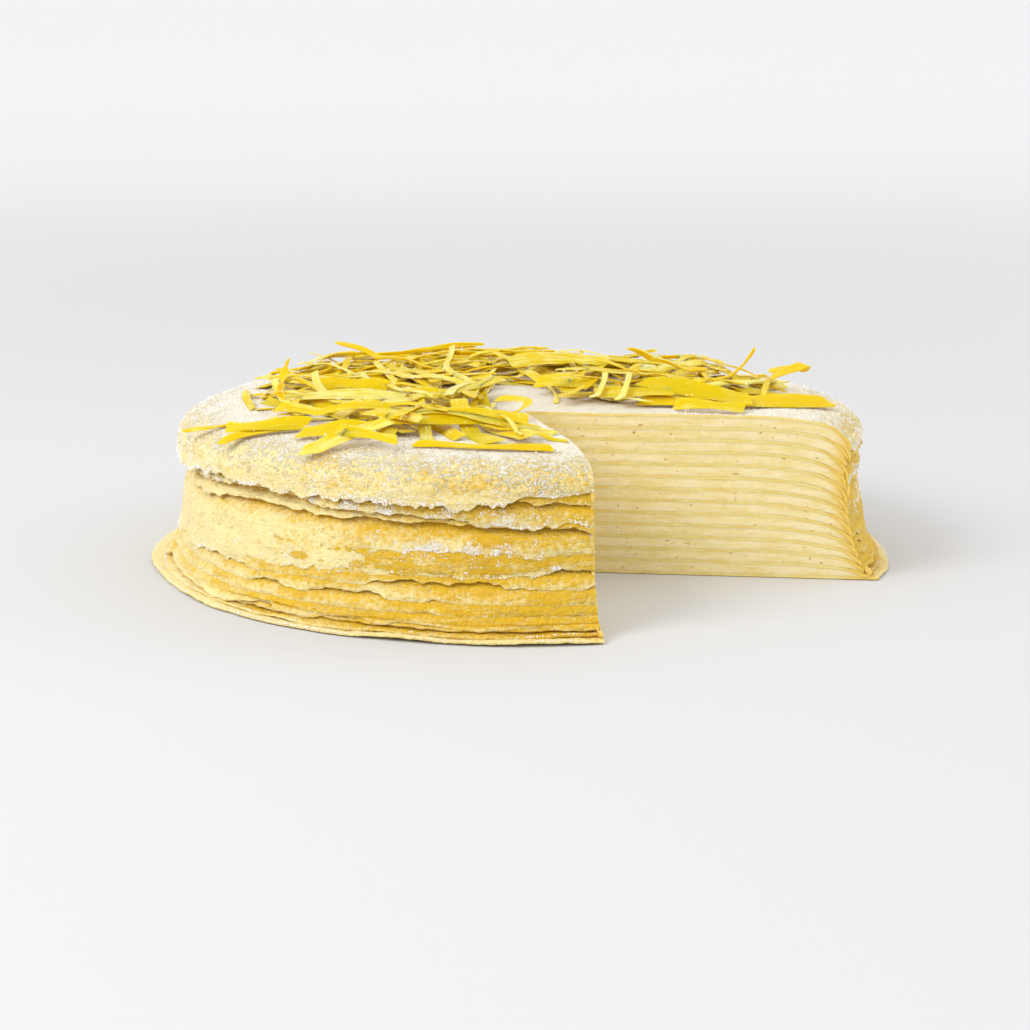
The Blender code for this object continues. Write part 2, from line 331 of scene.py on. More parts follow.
def crepe_middle(level, radius, angle):
    """Points on the middle of a crepe and its outward normal: the hanging form, crumpled by noise.

    Soft folds run mostly along the hem, and grow from nothing at the fall to their full height at the edge.
    """
    step = 0.2 * MM
    low, _ = stack(radius, angle, level)
    low_out, _ = stack(radius + step, angle, level)
    slope = (low - low_out) / step
    long = np.sqrt(1 + slope**2)
    normal = around(slope / long, angle, 1 / long)
    ripple = around(radius, angle, low) * (1, 1, 0.2)
    lie = 0.22 * MM * noise(ripple, 31 * MM, level) + 0.1 * MM * noise(ripple, 9 * MM, level)
    low = low + lie * smooth_step(level - 0.5, 0.1)
    beyond = radius - fall_radius(level, angle)
    past = beyond / MM
    out = radius + (1.1 * hump(past - 0.7, 1.6) - 0.5 * np.maximum(past - 2, 0)) * MM if level else radius
    middle = around(out, angle, low)
    middle += normal * (sizes().crepe_thickness / 2)
    along = middle * (1, 1, 2.2)
    folds = noises(along, (1.1, 26, 3), (0.5, 12, 4), (0.35, 9, level), (0.25, 4, level + 5), (0.2, 1.7, level + 6))
    share = smooth_step(beyond + 1.0 * MM, 1.6 * MM)
    if 0 < level <= PLEATED:
        pleats = noise(on_circle(angle, 50), 13 * MM, 2) + 0.2 * noise(on_circle(angle, 50 + level), 6 * MM, 2)
        folds = folds + min(1.3 - 0.18 * level, 0.3 * level) * pleats * np.clip(beyond / (2.5 * MM), 0, 1.3)
    if level == 0:
        share = 0.6 * smooth_step(radius - 119 * MM, 1.5 * MM)
        folds = np.maximum(folds + 0.25 + 1.5 * np.maximum(noise(along, 17 * MM, 12) - 0.1, 0), 0)
    middle += normal * (sizes().crumple * folds * share - tuck(level, radius, angle, low))[..., None]
    return middle, normal


def on_ray(direction, distance):
    """x, y, radius and angle about the middle, of the points this far from the slice's point."""
    x, y = SLICE_POINT[0] + distance * np.cos(direction), SLICE_POINT[1] + distance * np.sin(direction)
    return x, y, np.hypot(x, y), np.arctan2(y, x)


def reach_of(direction, edge):
    """The distance from the slice's point to an edge whose radius depends on the angle about the middle."""
    along = SLICE_POINT[0] * np.cos(direction) + SLICE_POINT[1] * np.sin(direction)
    distance = np.full_like(direction, SIDE)
    for _ in range(6):
        radius = edge(on_ray(direction, distance)[3])
        distance = np.sqrt(along**2 - SLICE_POINT[0] ** 2 - SLICE_POINT[1] ** 2 + radius**2) - along
    return distance


def section_directions(count):
    """Directions of upright sections from the slice's point, evenly spaced where they meet the side."""
    ends = np.array([FAR_CUT, 2 * math.pi + NEAR_CUT])
    x, y, _, _ = on_ray(ends, reach_of(ends, lambda angle: SIDE + 0 * angle))
    first, last = np.arctan2(y, x)
    angles = np.linspace(first, last + 2 * math.pi, count)
    x, y = plan(SIDE, angles)
    return np.unwrap(np.arctan2(y - SLICE_POINT[1], x - SLICE_POINT[0]))


# ---------------------------------------------------------------- meshes

WELD = 1e-7  # metres; points that agree to this become one
SHARP = math.radians(55)  # edges that turn by more than this stay sharp


def grid_quads(rows, columns):
    """The corners of every quad between the points of a grid, numbered row by row."""
    index = np.arange(rows * columns).reshape(rows, columns)
    return np.stack([index[:-1, :-1], index[1:, :-1], index[1:, 1:], index[:-1, 1:]], axis=-1).reshape(-1, 4)


class Shell:
    """Gathers the grids of points that make up one piece, and welds them into one closed mesh.

    A grid is a surface over two parameters. Where two grids meet they have the same points, which become one.
    """

    def __init__(self, *attributes):
        self.names = attributes
        self.points, self.polygons, self.slots = [], [], []
        self.values = {name: [] for name in attributes}
        self.count = 0

    def add_points(self, points, values):
        """Adds points, and their value of every attribute: an array, or one number for all of them."""
        points = points.reshape(-1, 3)
        for name in self.names:
            self.values[name].append(np.broadcast_to(np.ravel(values.get(name, 0.0)), len(points)))
        self.points.append(points)
        first, self.count = self.count, self.count + len(points)
        return first

    def add_polygons(self, polygons, slot=0):
        self.polygons += polygons
        self.slots += [slot] * len(polygons)

    def add_grid(self, grid, flip=False, slot=0, **values):
        """Adds a grid (a, b, 3) as quads; its faces look along (change with a) x (change with b), or flipped."""
        first = self.add_points(grid, values)
        quads = first + grid_quads(*grid.shape[:2])
        self.add_polygons((quads[:, ::-1] if flip else quads).tolist(), slot)

    def add_stitch(self, coarse, fine, flip=False):
        """Joins a coarse line of points to one with several times as many gaps, by faces with many corners."""
        first = self.add_points(np.concatenate([coarse, fine]), {})
        times = (len(fine) - 1) // (len(coarse) - 1)
        for k in range(len(coarse) - 1):
            start = first + len(coarse) + k * times
            face = [first + k, *range(start, start + times + 1), first + k + 1]
            self.add_polygons([face[::-1] if flip else face])

    def make(self, name, materials, relief=None):
        """The welded mesh as an object; relief moves its points, given them and their values."""
        points = np.concatenate(self.points)
        cells = np.round(points / WELD).astype(np.int64)
        _, kept, place = np.unique(cells, axis=0, return_index=True, return_inverse=True)
        place = place.ravel()
        values = {}
        for key in self.names:
            values[key] = np.full(len(kept), -np.inf)
            np.maximum.at(values[key], place, np.concatenate(self.values[key]))
        points = points[kept]
        if relief:
            points = points + relief(points, values)
        polygons, slots = [], []
        for polygon, slot in zip(self.polygons, self.slots):
            corners = [int(place[corner]) for corner in polygon]
            corners = [here for here, there in zip(corners, corners[1:] + corners[:1]) if here != there]
            if len(corners) > 2:
                polygons.append(corners)
                slots.append(slot)
        piece = mesh_object(name, points, polygons, materials)
        piece.data.polygons.foreach_set("material_index", slots)
        for key, value in values.items():
            layer = piece.data.attributes.new(key, "FLOAT", "POINT")
            layer.data.foreach_set("value", value.astype(np.float32))
        piece.data.shade_smooth()
        piece.data.set_sharp_from_angle(angle=SHARP)
        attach(piece, "root")
        return piece


def link(name, data):
    """A new object in the scene, with this data."""
    item = bpy.data.objects.new(name, data)
    bpy.context.scene.collection.objects.link(item)
    return item


def mesh_object(name, points, polygons, materials):
    """A new object in the scene, with a mesh of these points and polygons."""
    mesh = bpy.data.meshes.new(name)
    mesh.from_pydata(points, [], polygons)
    for material in materials:
        mesh.materials.append(material)
    return link(name, mesh)


# ---------------------------------------------------------------- crepes and cream

# Of the top crepe, then of the rest: upright sections round the rim, how many of these there are for each one
# further in, and points on the flat and on the steep part of the rim
TOP_GRID = (1040, 8, 6, 24)
GRID = (720, 24, 4, 15)
INNER = 84  # points from the slice's point to the rim
BAND = 14 * MM  # how far inside the fall the rim starts
CAP_ROWS = 4
CREAM_ROWS = 7
CREAM_COLUMNS = 61
CREAM_TURN = 7  # points round the cream's rounded edge
CREAM_LIPS = (0.009, 0.018)  # radians from each cut, between which the cream drops back

# The attribute cut holds the number of the cut face, plus a part for a crepe's
FAR_FACE, NEAR_FACE = 1, 2
CREPE_PART = 0.5

# How much deeper gold a crepe is on its deeper gold side, partly browning and partly painted shade, and how much less
# browned all round: bottom, middle and top crepes
TOASTS_AND_SHADES = ((1.9, 2.0), (1.9, 0.45), (0.8, 0.2))
# The front right, turned from the key light: the deeper gold there is partly browning and partly painted shade
BROWNED_AND_SHADED_SIDE = math.radians(-45)
STEEP = 2.2  # millimetres down a hanging rim for each one outwards


def crepe_limits(level, directions):
    """Distances from the slice's point to the start of the rim, to just inside the fall and to the ragged edge."""
    fall = reach_of(directions, lambda angle: fall_radius(level, angle) - 2.5 * MM)
    rim = reach_of(directions, lambda angle: ragged_rim(level, angle))
    return fall - BAND, fall, rim


def crepe_faces(level, directions, distances, rim):
    """The upper and lower face of a crepe at these distances along these directions; it thins out at its edge."""
    _, _, radius, angle = on_ray(directions[:, None], distances)
    middle, normal = crepe_middle(level, radius, angle)
    taper = 0.4 + 0.6 * (1 - np.exp(-np.maximum(rim[:, None] - distances, 0) / (0.7 * MM)))
    half = normal * (sizes().crepe_thickness / 2 * taper)[..., None]
    return middle + half, middle - half


def hem_heights(angle):
    """The height of every crepe's edge at these angles, from the bottom up."""
    return np.array([stack(ragged_rim(level, angle), angle, level)[0] for level in range(CREPES)])


def cover_height(level, angle):
    """How far down the crepes above this one reach, at these angles: 1 m for the top one, which none covers."""
    if level == TOP:
        return np.full_like(angle, 1.0)
    angles = np.linspace(-math.pi, math.pi, 1441)
    return np.interp(turned(angle), angles, hem_heights(angles)[level + 1:].min(axis=0))


def cut_relief(points, values):
    """Moves the points of the cut faces in and out: streaks along the layers, and small pits."""
    streak = noise(points * (1, 1, 4), 9 * MM, 41) * 0.08 * MM
    pits = noise(points * (1, 1, 1.8), 1.3 * MM, 42) * 0.12 * MM
    cut = values["cut"][:, None]
    push = streak[:, None] + pits[:, None] + 0.05 * MM * (cut % 1 > 0)
    far = np.array([math.sin(FAR_CUT), -math.cos(FAR_CUT), 0])
    near = np.array([-math.sin(NEAR_CUT), math.cos(NEAR_CUT), 0])
    return np.where(cut > 0, push * np.where(cut >= NEAR_FACE, near, far), 0)


def add_caps(shell, upper, lower, rows, slot, part, past):
    """Closes both cuts by grids between the upper and lower line of the first and last column."""
    across = np.linspace(0, 1, rows)
    for column, face, flip in ((0, FAR_FACE, False), (-1, NEAR_FACE, True)):
        grid = lower[column][:, None] + (upper[column] - lower[column])[:, None] * across[:, None]
        values = {"cut": face + part, "across": np.broadcast_to(across, grid.shape[:2]),
                  "past": np.broadcast_to(past[column][:, None], grid.shape[:2])}
        shell.add_grid(grid, flip=flip, slot=slot, **values)


def make_crepe(level, materials):
    """One crepe: a fine rim that hangs down the side, a coarser inside, and the two cut faces."""
    top = level == TOP
    columns, coarse, flat, steep = TOP_GRID if top else GRID
    gain, loss = TOASTS_AND_SHADES[2 if top else min(level, 1)]
    directions = section_directions(columns + 1)
    start, fall, rim = crepe_limits(level, directions)
    rim = np.maximum(rim, fall + 1 * MM)
    lead = start[:, None] + (fall - start)[:, None] * np.linspace(0, 1, flat, endpoint=False)
    drop = fall[:, None] + (rim - fall)[:, None] * np.linspace(0, 1, steep)
    distances = np.concatenate([lead, drop], axis=1)
    upper, lower = crepe_faces(level, directions, distances, rim)
    inside = start[::coarse, None] * np.linspace(0, 1, INNER)
    high, low = crepe_faces(level, directions[::coarse], inside, rim[::coarse])

    shell = Shell("cut", "across", "below", "edge", "toast", "past")

    def looks(points, edge):
        angle = np.arctan2(points[..., 1], points[..., 0])
        # Deeper gold towards the front right and paler towards the left, where the key light falls: partly browning,
        # partly painted shade
        facing = (0.5 + 0.5 * np.cos(angle - BROWNED_AND_SHADED_SIDE)) ** 2
        toast = facing * gain - loss
        if top:
            toast = toast + 0.5 * np.exp(-edge / (9 * MM))
        return {"below": (cover_height(level, angle) - points[..., 2]) / MM, "edge": edge / MM, "toast": toast}

    to_rim = (rim[:, None] - distances) * STEEP
    shell.add_grid(upper, flip=True, across=1.0, **looks(upper, to_rim))
    shell.add_grid(lower, **looks(lower, to_rim))
    far = rim[::coarse, None] - inside
    shell.add_grid(high[:, :-1], flip=True, across=1.0, **looks(high[:, :-1], far[:, :-1]))
    shell.add_grid(low[:, :-1], **looks(low[:, :-1], far[:, :-1]))
    shell.add_stitch(high[:, -2], upper[:, 0])
    shell.add_stitch(low[:, -2], lower[:, 0], flip=True)
    shell.add_grid(np.stack([upper[:, -1], lower[:, -1]], axis=1), flip=True)
    ends = [0, -1]
    cap_high = np.concatenate([high[ends, :-1], upper[ends]], axis=1)
    cap_low = np.concatenate([low[ends, :-1], lower[ends]], axis=1)
    cap_past = np.concatenate([inside[ends, :-1], distances[ends]], axis=1) - fall[ends, None]
    add_caps(shell, cap_high, cap_low, CAP_ROWS, 1, CREPE_PART, cap_past / MM)
    piece = shell.make(CREPE_NODES[level].replace("crepe", "soft_crepe"), materials, cut_relief)
    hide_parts(CREPE_NODES[level])
    return piece


def face_heights(level, side, directions, distances):
    """The height of a crepe's upper (0) or lower (1) face at these distances; past its edge, -1 m for the upper."""
    _, fall, rim = crepe_limits(level, directions)
    inside = fall[:, None] * np.linspace(0, 1, 110, endpoint=False)
    outside = fall[:, None] + (rim - fall)[:, None] * np.linspace(0, 1, 30)
    along = np.concatenate([inside, outside], axis=1)
    points = crepe_faces(level, directions, along, rim)[side]
    away, _ = from_point(points[..., 0], points[..., 1])
    past = -1.0 if side == 0 else None
    return np.array([np.interp(d, a, z, right=past) for d, a, z in zip(distances, away, points[..., 2])])


def make_cream(level, materials):
    """The cream on one crepe: it fills the room up to the next crepe, and ends in a rounded edge behind the rims.

    At the two cuts it is pressed out between the hanging rims, almost to their ends.
    """
    directions = section_directions(CREAM_COLUMNS)
    first, last = directions[[0, -1]]
    lips = np.array(CREAM_LIPS)
    directions = np.concatenate([[first], first + lips, directions[1:-1], last - lips[::-1], [last]])
    above = level + 1
    behind = reach_of(directions, lambda angle: np.min([fall_radius(above, angle) + 1.2 * MM,
                                                        ragged_rim(above, angle) - 0.6 * MM,
                                                        ragged_rim(0, angle) - 1.0 * MM], axis=0))
    pressed = reach_of(directions, lambda angle: ragged_rim(above, angle) + 0.5 * MM)
    at_cut = np.minimum(directions - first, last - directions) < sum(lips) / 2
    edge = np.where(at_cut, np.maximum(pressed, behind), behind)
    turn = np.linspace(0, math.pi / 2, CREAM_TURN)
    bluntness = np.where(at_cut, 1.0, 2.5)[:, None] * MM
    inside = (edge[:, None] - bluntness) * np.linspace(0, 1, INNER, endpoint=False)
    distances = np.concatenate([inside, edge[:, None] - bluntness * (1 - np.sin(turn))], axis=1)
    x, y, _, _ = on_ray(directions[:, None], distances)
    high = face_heights(above, 1, directions, distances)
    lows = [face_heights(below, 0, directions, distances) for below in range(max(level - 2, 0), above)]
    low = np.clip(np.max(lows, axis=0), np.maximum(high - PITCH, 0), high)
    full = np.concatenate([np.ones(INNER), np.cos(turn)])
    middle, half = (low + high) / 2, (high - low) / 2 * full
    upper = np.stack([x, y, middle + half], axis=-1)
    lower = np.stack([x, y, middle - half], axis=-1)
    past = (distances - behind[:, None]) / MM
    shell = Shell("cut", "across", "past")
    shell.add_grid(upper, flip=True, across=1.0, past=past)
    shell.add_grid(lower, past=past)
    add_caps(shell, upper, lower, CREAM_ROWS, 0, 0.0, past)
    piece = shell.make(CREAM_NODES[level].replace("cream", "set_cream"), materials, cut_relief)
    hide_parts(CREAM_NODES[level])
    return piece


# ---------------------------------------------------------------- peel

# Each loose strip's start, bend and end in plan, its lift at the three, and its width, in millimetres
STRIPS = {
    "peel_stub": ((-78, -36), (-77, -35), (-75, -34), (0, 6, 12), 3.5),
    "peel_rising_left": ((-30, 26), (-46, 40), (-66, 46), (0, 1, 4.5), 3),
    "peel_over_shoulder": ((-68, -66), (-84, -68), (-93, -70), (0, 0, 0), 3),
    "peel_far_left": ((-90, -52), (-99, -50), (-107, -51), (0, 0, 1.5), 2),
    "peel_crossed_one": ((62, -6), (43, -2), (25, 6), (0, 2, 7), 3),
    "peel_crossed_two": ((64, 14), (50, 8), (36, -6), (0, 2.5, 7.5), 3),
    "peel_thin_upright": ((66, 6), (74, 4), (79, 2), (0, 3, 10), 2),
    "peel_curl": ((84, -4), (97, 8), (86, 20), (1, 6, 3), 4),
    "peel_front": ((-32, -92), (-10, -97), (9, -99), (0, 0, 0), 3),
    "peel_far_ribbon": ((40, -20), (74, -24), (102, -17), (0, 0, 0), 7),
}

# Broad sheets that lie in front of the heap and among it, nearest last: start, bend and end in plan, lift at the
# three, width, tilt in degrees, and tone, from 0, deep gold, to 1, pale
SHEETS = (
    ((-4, 30), (13, 35), (30, 34), (6, 7, 6), 6, 30, 0.5),
    ((5, 4), (14, 0), (24, -4), (3, 4, 2), 5.5, 30, 0.1),
    ((-66, -14), (-55, -16), (-44, -20), (5, 6, 5), 5, 40, 0.0),
    ((-47, -16), (-37, -22), (-27, -27), (3, 4, 2), 6, 25, 0.05),
    ((-77, -33), (-57, -38), (-37, -38), (4, 6, 5), 5, 25, 0.9),
    ((40, -11), (57, -19), (75, -28), (6, 4, 1), 7, 30, 0.0),
    ((24, -12), (37, -17), (50, -19), (2, 3, 2), 5.5, 25, 0.3),
    ((50, -29), (60, -34), (72, -36), (1, 2, 1), 5, 30, 0.2),
    ((-8, -33), (2, -46), (-7, -54), (4, 5, 1), 3.4, 20, 0.1),
    ((-92, -62), (-80, -66), (-66, -66), (0, 2, 1), 5.5, 30, 0.05),
    ((-68, -75), (-57, -78), (-46, -80), (1, 2, 2), 6, 35, 0.0),
    ((-43, -74), (-20, -72), (2, -72), (1, 2, 1), 6.5, 32, 0.1),
    ((-66, -91), (-53, -89), (-40, -85), (0, 3, 6), 5, 30, 0.7),
    ((-56, -86), (-47, -91), (-37, -96), (2, 1, 0), 4, 30, 0.1),
    ((28, -6), (27, -13), (23, -22), (9, 6, 1), 2, 0, 1.0),
    ((36, -6), (35, -16), (31, -28), (9, 7, 0), 2, 0, 1.0),
    ((-68, -19), (-66, -26), (-60, -34), (11, 7, 2), 2.5, 20, 1.0),
)
DROPPED, SHEET, LOOSE = 26, 34, 40  # stations along a strip of the heap, a broad sheet and a loose strip
PEEL_RING = 10  # points round a strip
PEEL_LOOKS = ("tone", "side", "brink", "along", "breadth")
CELL = 1 * MM
FIELD = 130  # half the width of the height map, in cells

# A patch behind the slice's point stays bare: its direction from there, its width and how far it reaches
BARE, BARE_WIDTH, BARE_REACH = math.radians(91), math.radians(15), 44 * MM


def stations(count):
    """Shares of the way along a strip: evenly spaced, with two more close to each tip."""
    return np.concatenate([[0, 0.012, 0.035], np.linspace(0.08, 0.92, count - 6), [0.965, 0.988, 1]])


def ribbon(spine, side, up, width, thickness, cup, slants):
    """A flat strip along a spine (n, 3): a rounded flat section carried along it, with both tips cut off aslant.

    The section is |cos t|^0.55 across and |sin t|^0.8 out, with the signs of cos t and sin t. side and up are unit
    vectors across the strip and out of its face; cup bends the section into a trough. With the points comes what
    the paint reads: which face, how near the edge, and millimetres along and across.
    """
    turn = np.linspace(0, 2 * math.pi, PEEL_RING + 1) + math.pi / PEEL_RING
    u = np.sign(np.cos(turn)) * np.abs(np.cos(turn)) ** 0.55
    v = np.sign(np.sin(turn)) * np.abs(np.sin(turn)) ** 0.8
    share = stations(len(spine))
    tip = np.clip(np.minimum(share, 1 - share) / 0.03, 0, 1)
    half = (width / 2 * (0.8 + 0.2 * np.sqrt(tip)))[:, None, None]
    rise = thickness / 2 * v * (0.55 + 0.45 * tip)[:, None] + cup * (u**2 - 0.5)
    along = np.gradient(spine, axis=0)
    step = np.linalg.norm(along, axis=1)
    along /= step[:, None]
    slant = slants[0] * np.clip(1 - share / 0.15, 0, 1) + slants[1] * np.clip(1 - (1 - share) / 0.15, 0, 1)
    shift = along[:, None] * (slant[:, None] * u)[..., None] * half
    points = spine[:, None] + side[:, None] * u[:, None] * half + up[:, None] * rise[..., None] + shift
    points[:, -1] = points[:, 0]
    shape = points.shape[:2]
    looks = {"side": v, "brink": np.abs(u), "along": (np.cumsum(step) / MM)[:, None], "breadth": u * half[..., 0] / MM}
    return points, {key: np.broadcast_to(value, shape) for key, value in looks.items()}


def frame_along(spine, roll):
    """Unit vectors across and out of a strip along its spine, level but for its roll."""
    along = np.gradient(spine, axis=0)
    along /= np.linalg.norm(along, axis=1)[:, None]
    side = np.cross((0, 0, 1), along)
    side /= np.maximum(np.linalg.norm(side, axis=1), 1e-9)[:, None]
    up = np.cross(along, side)
    cos, sin = np.cos(roll)[:, None], np.sin(roll)[:, None]
    return side * cos + up * sin, up * cos - side * sin


def level_side(flat):
    """Unit vectors across a strip that lies level over this plan."""
    return frame_along(np.column_stack([flat, np.zeros(len(flat))]), np.zeros(len(flat)))[0]


def top_surface(x, y):
    """The height of the cake's upper face at these places."""
    radius, angle = np.hypot(x, y), np.arctan2(y, x)
    low, slope = stack(radius, angle, TOP)
    return low + sizes().crepe_thickness * np.sqrt(1 + slope**2)


class Ground:
    """A height map of the top, on which strips are laid one after another."""

    def __init__(self):
        line = np.arange(-FIELD, FIELD + 1) * CELL
        self.x, self.y = np.meshgrid(line, line, indexing="ij")
        self.height = top_surface(self.x, self.y)
        self.closed = np.zeros(self.height.shape, dtype=bool)

    def index(self, x, y):
        """The cells of the map under these places."""
        return tuple(np.clip(np.round(place / CELL).astype(int) + FIELD, 0, 2 * FIELD) for place in (x, y))

    def rests(self, middle, side, width):
        """The highest ground across the strip's width, at each point of its spine."""
        across = np.array([-0.45, -0.2, 0, 0.2, 0.45])[:, None] * width
        x = middle[:, 0] + side[:, 0] * across
        y = middle[:, 1] + side[:, 1] * across
        return self.height[self.index(x, y)].max(axis=0)

    def raise_to(self, spine, side, width, thickness):
        """The strip that has just been laid becomes part of the ground; gives the cells that it covers."""
        steps = np.linspace(-0.5, 0.5, max(3, int(width / CELL * 1.6)))[:, None] * width
        x = spine[:, 0] + side[:, 0] * steps
        y = spine[:, 1] + side[:, 1] * steps
        cells = self.index(x, y)
        np.maximum.at(self.height, cells, np.broadcast_to(spine[:, 2] + thickness, x.shape))
        return cells


def drape(rests, place, softness):
    """The lowest line over the ground that bends no more sharply than the strip can: the highest of downward
    parabolas that stand on every point of the ground."""
    return (rests[None, :] - (place[:, None] - place[None, :]) ** 2 * softness).max(axis=1)


def in_heap(x, y):
    """Above 0 where the heap of peel lies, in metres from its outline; below 0 outside and on the bare patches."""
    radius, angle = np.hypot(x, y), np.arctan2(y, x)
    outline = 98 * MM + 6 * MM * wave(angle, 6, (3, 5, 8)) - radius
    away, direction = from_point(x, y)
    wedge = (direction > 2 * math.pi + NEAR_CUT) & (direction < 2 * math.pi + FAR_CUT)
    bare = away - 8 * MM - BARE_REACH * hump(direction - BARE, BARE_WIDTH)
    return np.minimum(np.where(wedge, -1 * MM, np.minimum(from_cuts(x, y), bare)), outline)


def drop_strip(rng, ground, ceiling):
    """One strip of the heap, tossed at random and draped over what lies there; None where it doesn't fit."""
    broad = rng.random() < 0.6
    length = rng.uniform(34, 82) * MM
    width = rng.uniform(3.0, 6.8) * MM if broad else rng.uniform(1.4, 2.8) * MM
    heading = rng.uniform(0, 2 * math.pi)
    centre = rng.uniform(-100, 100, 2) * MM
    if in_heap(*centre) < width / 2:
        return None
    share = stations(DROPPED)
    turning = heading + rng.normal(0, 0.45) * (share - 0.5) + rng.normal(0, 0.18) * np.sin(2 * math.pi * share)
    pace = np.diff(share, prepend=0)[:, None] * length
    flat = np.cumsum(np.stack([np.cos(turning), np.sin(turning)], axis=-1) * pace, axis=0)
    flat += centre - flat[DROPPED // 2]
    if in_heap(*flat.T).min() < width / 2 or ground.closed[ground.index(*flat.T)].any():
        return None
    thickness = sizes("peel").thickness * rng.uniform(0.75, 1.4)
    side = level_side(flat)
    z = drape(ground.rests(flat, side, width), share * length, rng.uniform(6, 22))
    out = np.linalg.norm(centre)
    lean = -0.4 * (side[DROPPED // 2, :2] @ centre) / out * min(1.0, out / (70 * MM))
    swing = np.sin(math.pi * share * rng.uniform(0.6, 1.8) + rng.uniform(0, 3))
    roll = lean + rng.normal(0, 0.2) + rng.normal(0, 0.25) * swing
    z = z + thickness / 2 + width / 2 * np.abs(np.sin(roll)) * 0.75
    if z.max() > ceiling:
        return None
    if rng.random() < 0.15:
        z = z + rng.uniform(1, 4) * MM * np.clip((share - 0.5) / 0.5, 0, 1) ** 1.6
    spine = np.column_stack([flat, z])
    side, up = frame_along(spine, roll)
    widths = width * (1 + 0.07 * np.sin(share * rng.uniform(3, 9) + rng.uniform(0, 6)))
    points, looks = ribbon(spine, side, up, widths, thickness, rng.normal(0, 0.05) * width, rng.normal(0, 0.45, 2))
    ground.raise_to(spine, side, width * 0.8, thickness / 2)
    return points, looks


def lay_sheet(number, ground):
    """One of the broad sheets: draped softly, tilted towards the front, and lifted off the heap as its row says."""
    *corners, lifts, width, tilt, _ = SHEETS[number]
    share = stations(SHEET)
    flat, lift, width = through(corners, share) * MM, lift_along(lifts, share), width * MM
    side, bare = level_side(flat), top_surface(*flat.T)
    rests = np.minimum(ground.rests(flat, side, width * 0.6), bare + 4 * MM)
    z = np.maximum(drape(rests, share * length_of(flat), 8.0), bare + lift)
    roll = math.radians(tilt) * np.sign(flat[-1, 0] - flat[0, 0]) * (1 + 0.3 * np.sin(share * 6 + number))
    spine = np.column_stack([flat, z + width / 2 * np.abs(np.sin(roll)) * 0.6])
    side, up = frame_along(spine, roll)
    widths = width * (1 + 0.06 * np.sin(share * 7 + number))
    thickness = sizes("peel").thickness
    ground.raise_to(spine, side, width * 0.8, thickness / 2)
    slants = (0.6 * np.sin(9.0 * number), 0.6 * np.cos(7.0 * number))
    return ribbon(spine, side, up, widths, thickness, 0.05 * width, slants)


def make_heap(ground, materials):
    """The heap: strips dropped one after another from a fixed seed, then the broad sheets, then the last tenth."""
    rng = np.random.default_rng(7)
    strips = sizes("peel").strips
    shell = Shell(*PEEL_LOOKS)
    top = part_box(CREPE_NODES[TOP])[1].z
    brinks = []

    def lay(strip, tone, face, start):
        add_ribbon(shell, *strip, tone, face, start)
        brinks.append(strip[0][:, [0, PEEL_RING // 2]].reshape(-1, 3))

    laid = tries = 0
    while laid < strips:
        # The ceiling rises as the heap grows, and a little with every try, so that the last strips fit too
        tries += 1
        strip = drop_strip(rng, ground, top + (3.0 + 4.5 * laid / strips + tries / 60000) * MM)
        if not strip:
            continue
        tone = rng.uniform(0, 0.35) if rng.random() < 0.62 else rng.uniform(0.55, 1)
        lay(strip, tone, 1 if rng.random() < 0.7 else -1, rng.uniform(0, 900))
        laid += 1
        if laid == strips * 9 // 10:
            for number, sheet in enumerate(SHEETS):
                lay(lay_sheet(number, ground), sheet[-1], 1, 37 * number)
    piece = shell.make("peel_pile", materials)
    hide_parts("peel_heap")
    brinks = np.concatenate(brinks)
    places = brinks[rng.integers(len(brinks), size=sizes("sugar").peel_grains)]
    places = places + rng.normal(0, 0.35 * MM, places.shape)
    make_grains("sugar_on_peel", places, sizes("sugar").grain * 0.8, 14)
    return piece


def add_ribbon(shell, points, looks, tone, face, start):
    """A closed strip: its ring of points carried along, and an end face at each tip.

    tone is its colour, face 1 or -1 is the way its outer side looks, and start shifts the streaks along it.
    """
    tones = np.full(points.shape[:2], tone)
    looks = {**looks, "tone": tones, "side": looks["side"] * face, "along": looks["along"] + start}
    shell.add_grid(points, **looks)
    for end, step in ((0, 1), (-1, -1)):
        first = shell.add_points(points[end, :-1], {key: value[end, :-1] for key, value in looks.items()})
        shell.add_polygons([list(range(first, first + PEEL_RING))[::step]])


def through(points, share):
    """A smooth curve through three points, at shares 0, 0.5 and 1 of its way."""
    first, middle, last = (np.asarray(point, dtype=float) for point in points)
    share = share[:, None]
    bend = 4 * share * (1 - share) * middle
    return (1 - share) * (1 - 2 * share) * first + bend + share * (2 * share - 1) * last


def lift_along(lifts, share):
    """A smooth lift in metres through three in millimetres."""
    return through([[lift] for lift in lifts], share)[:, 0] * MM


def length_of(flat):
    """The length of a line in plan."""
    return np.linalg.norm(np.diff(flat, axis=0), axis=1).sum()


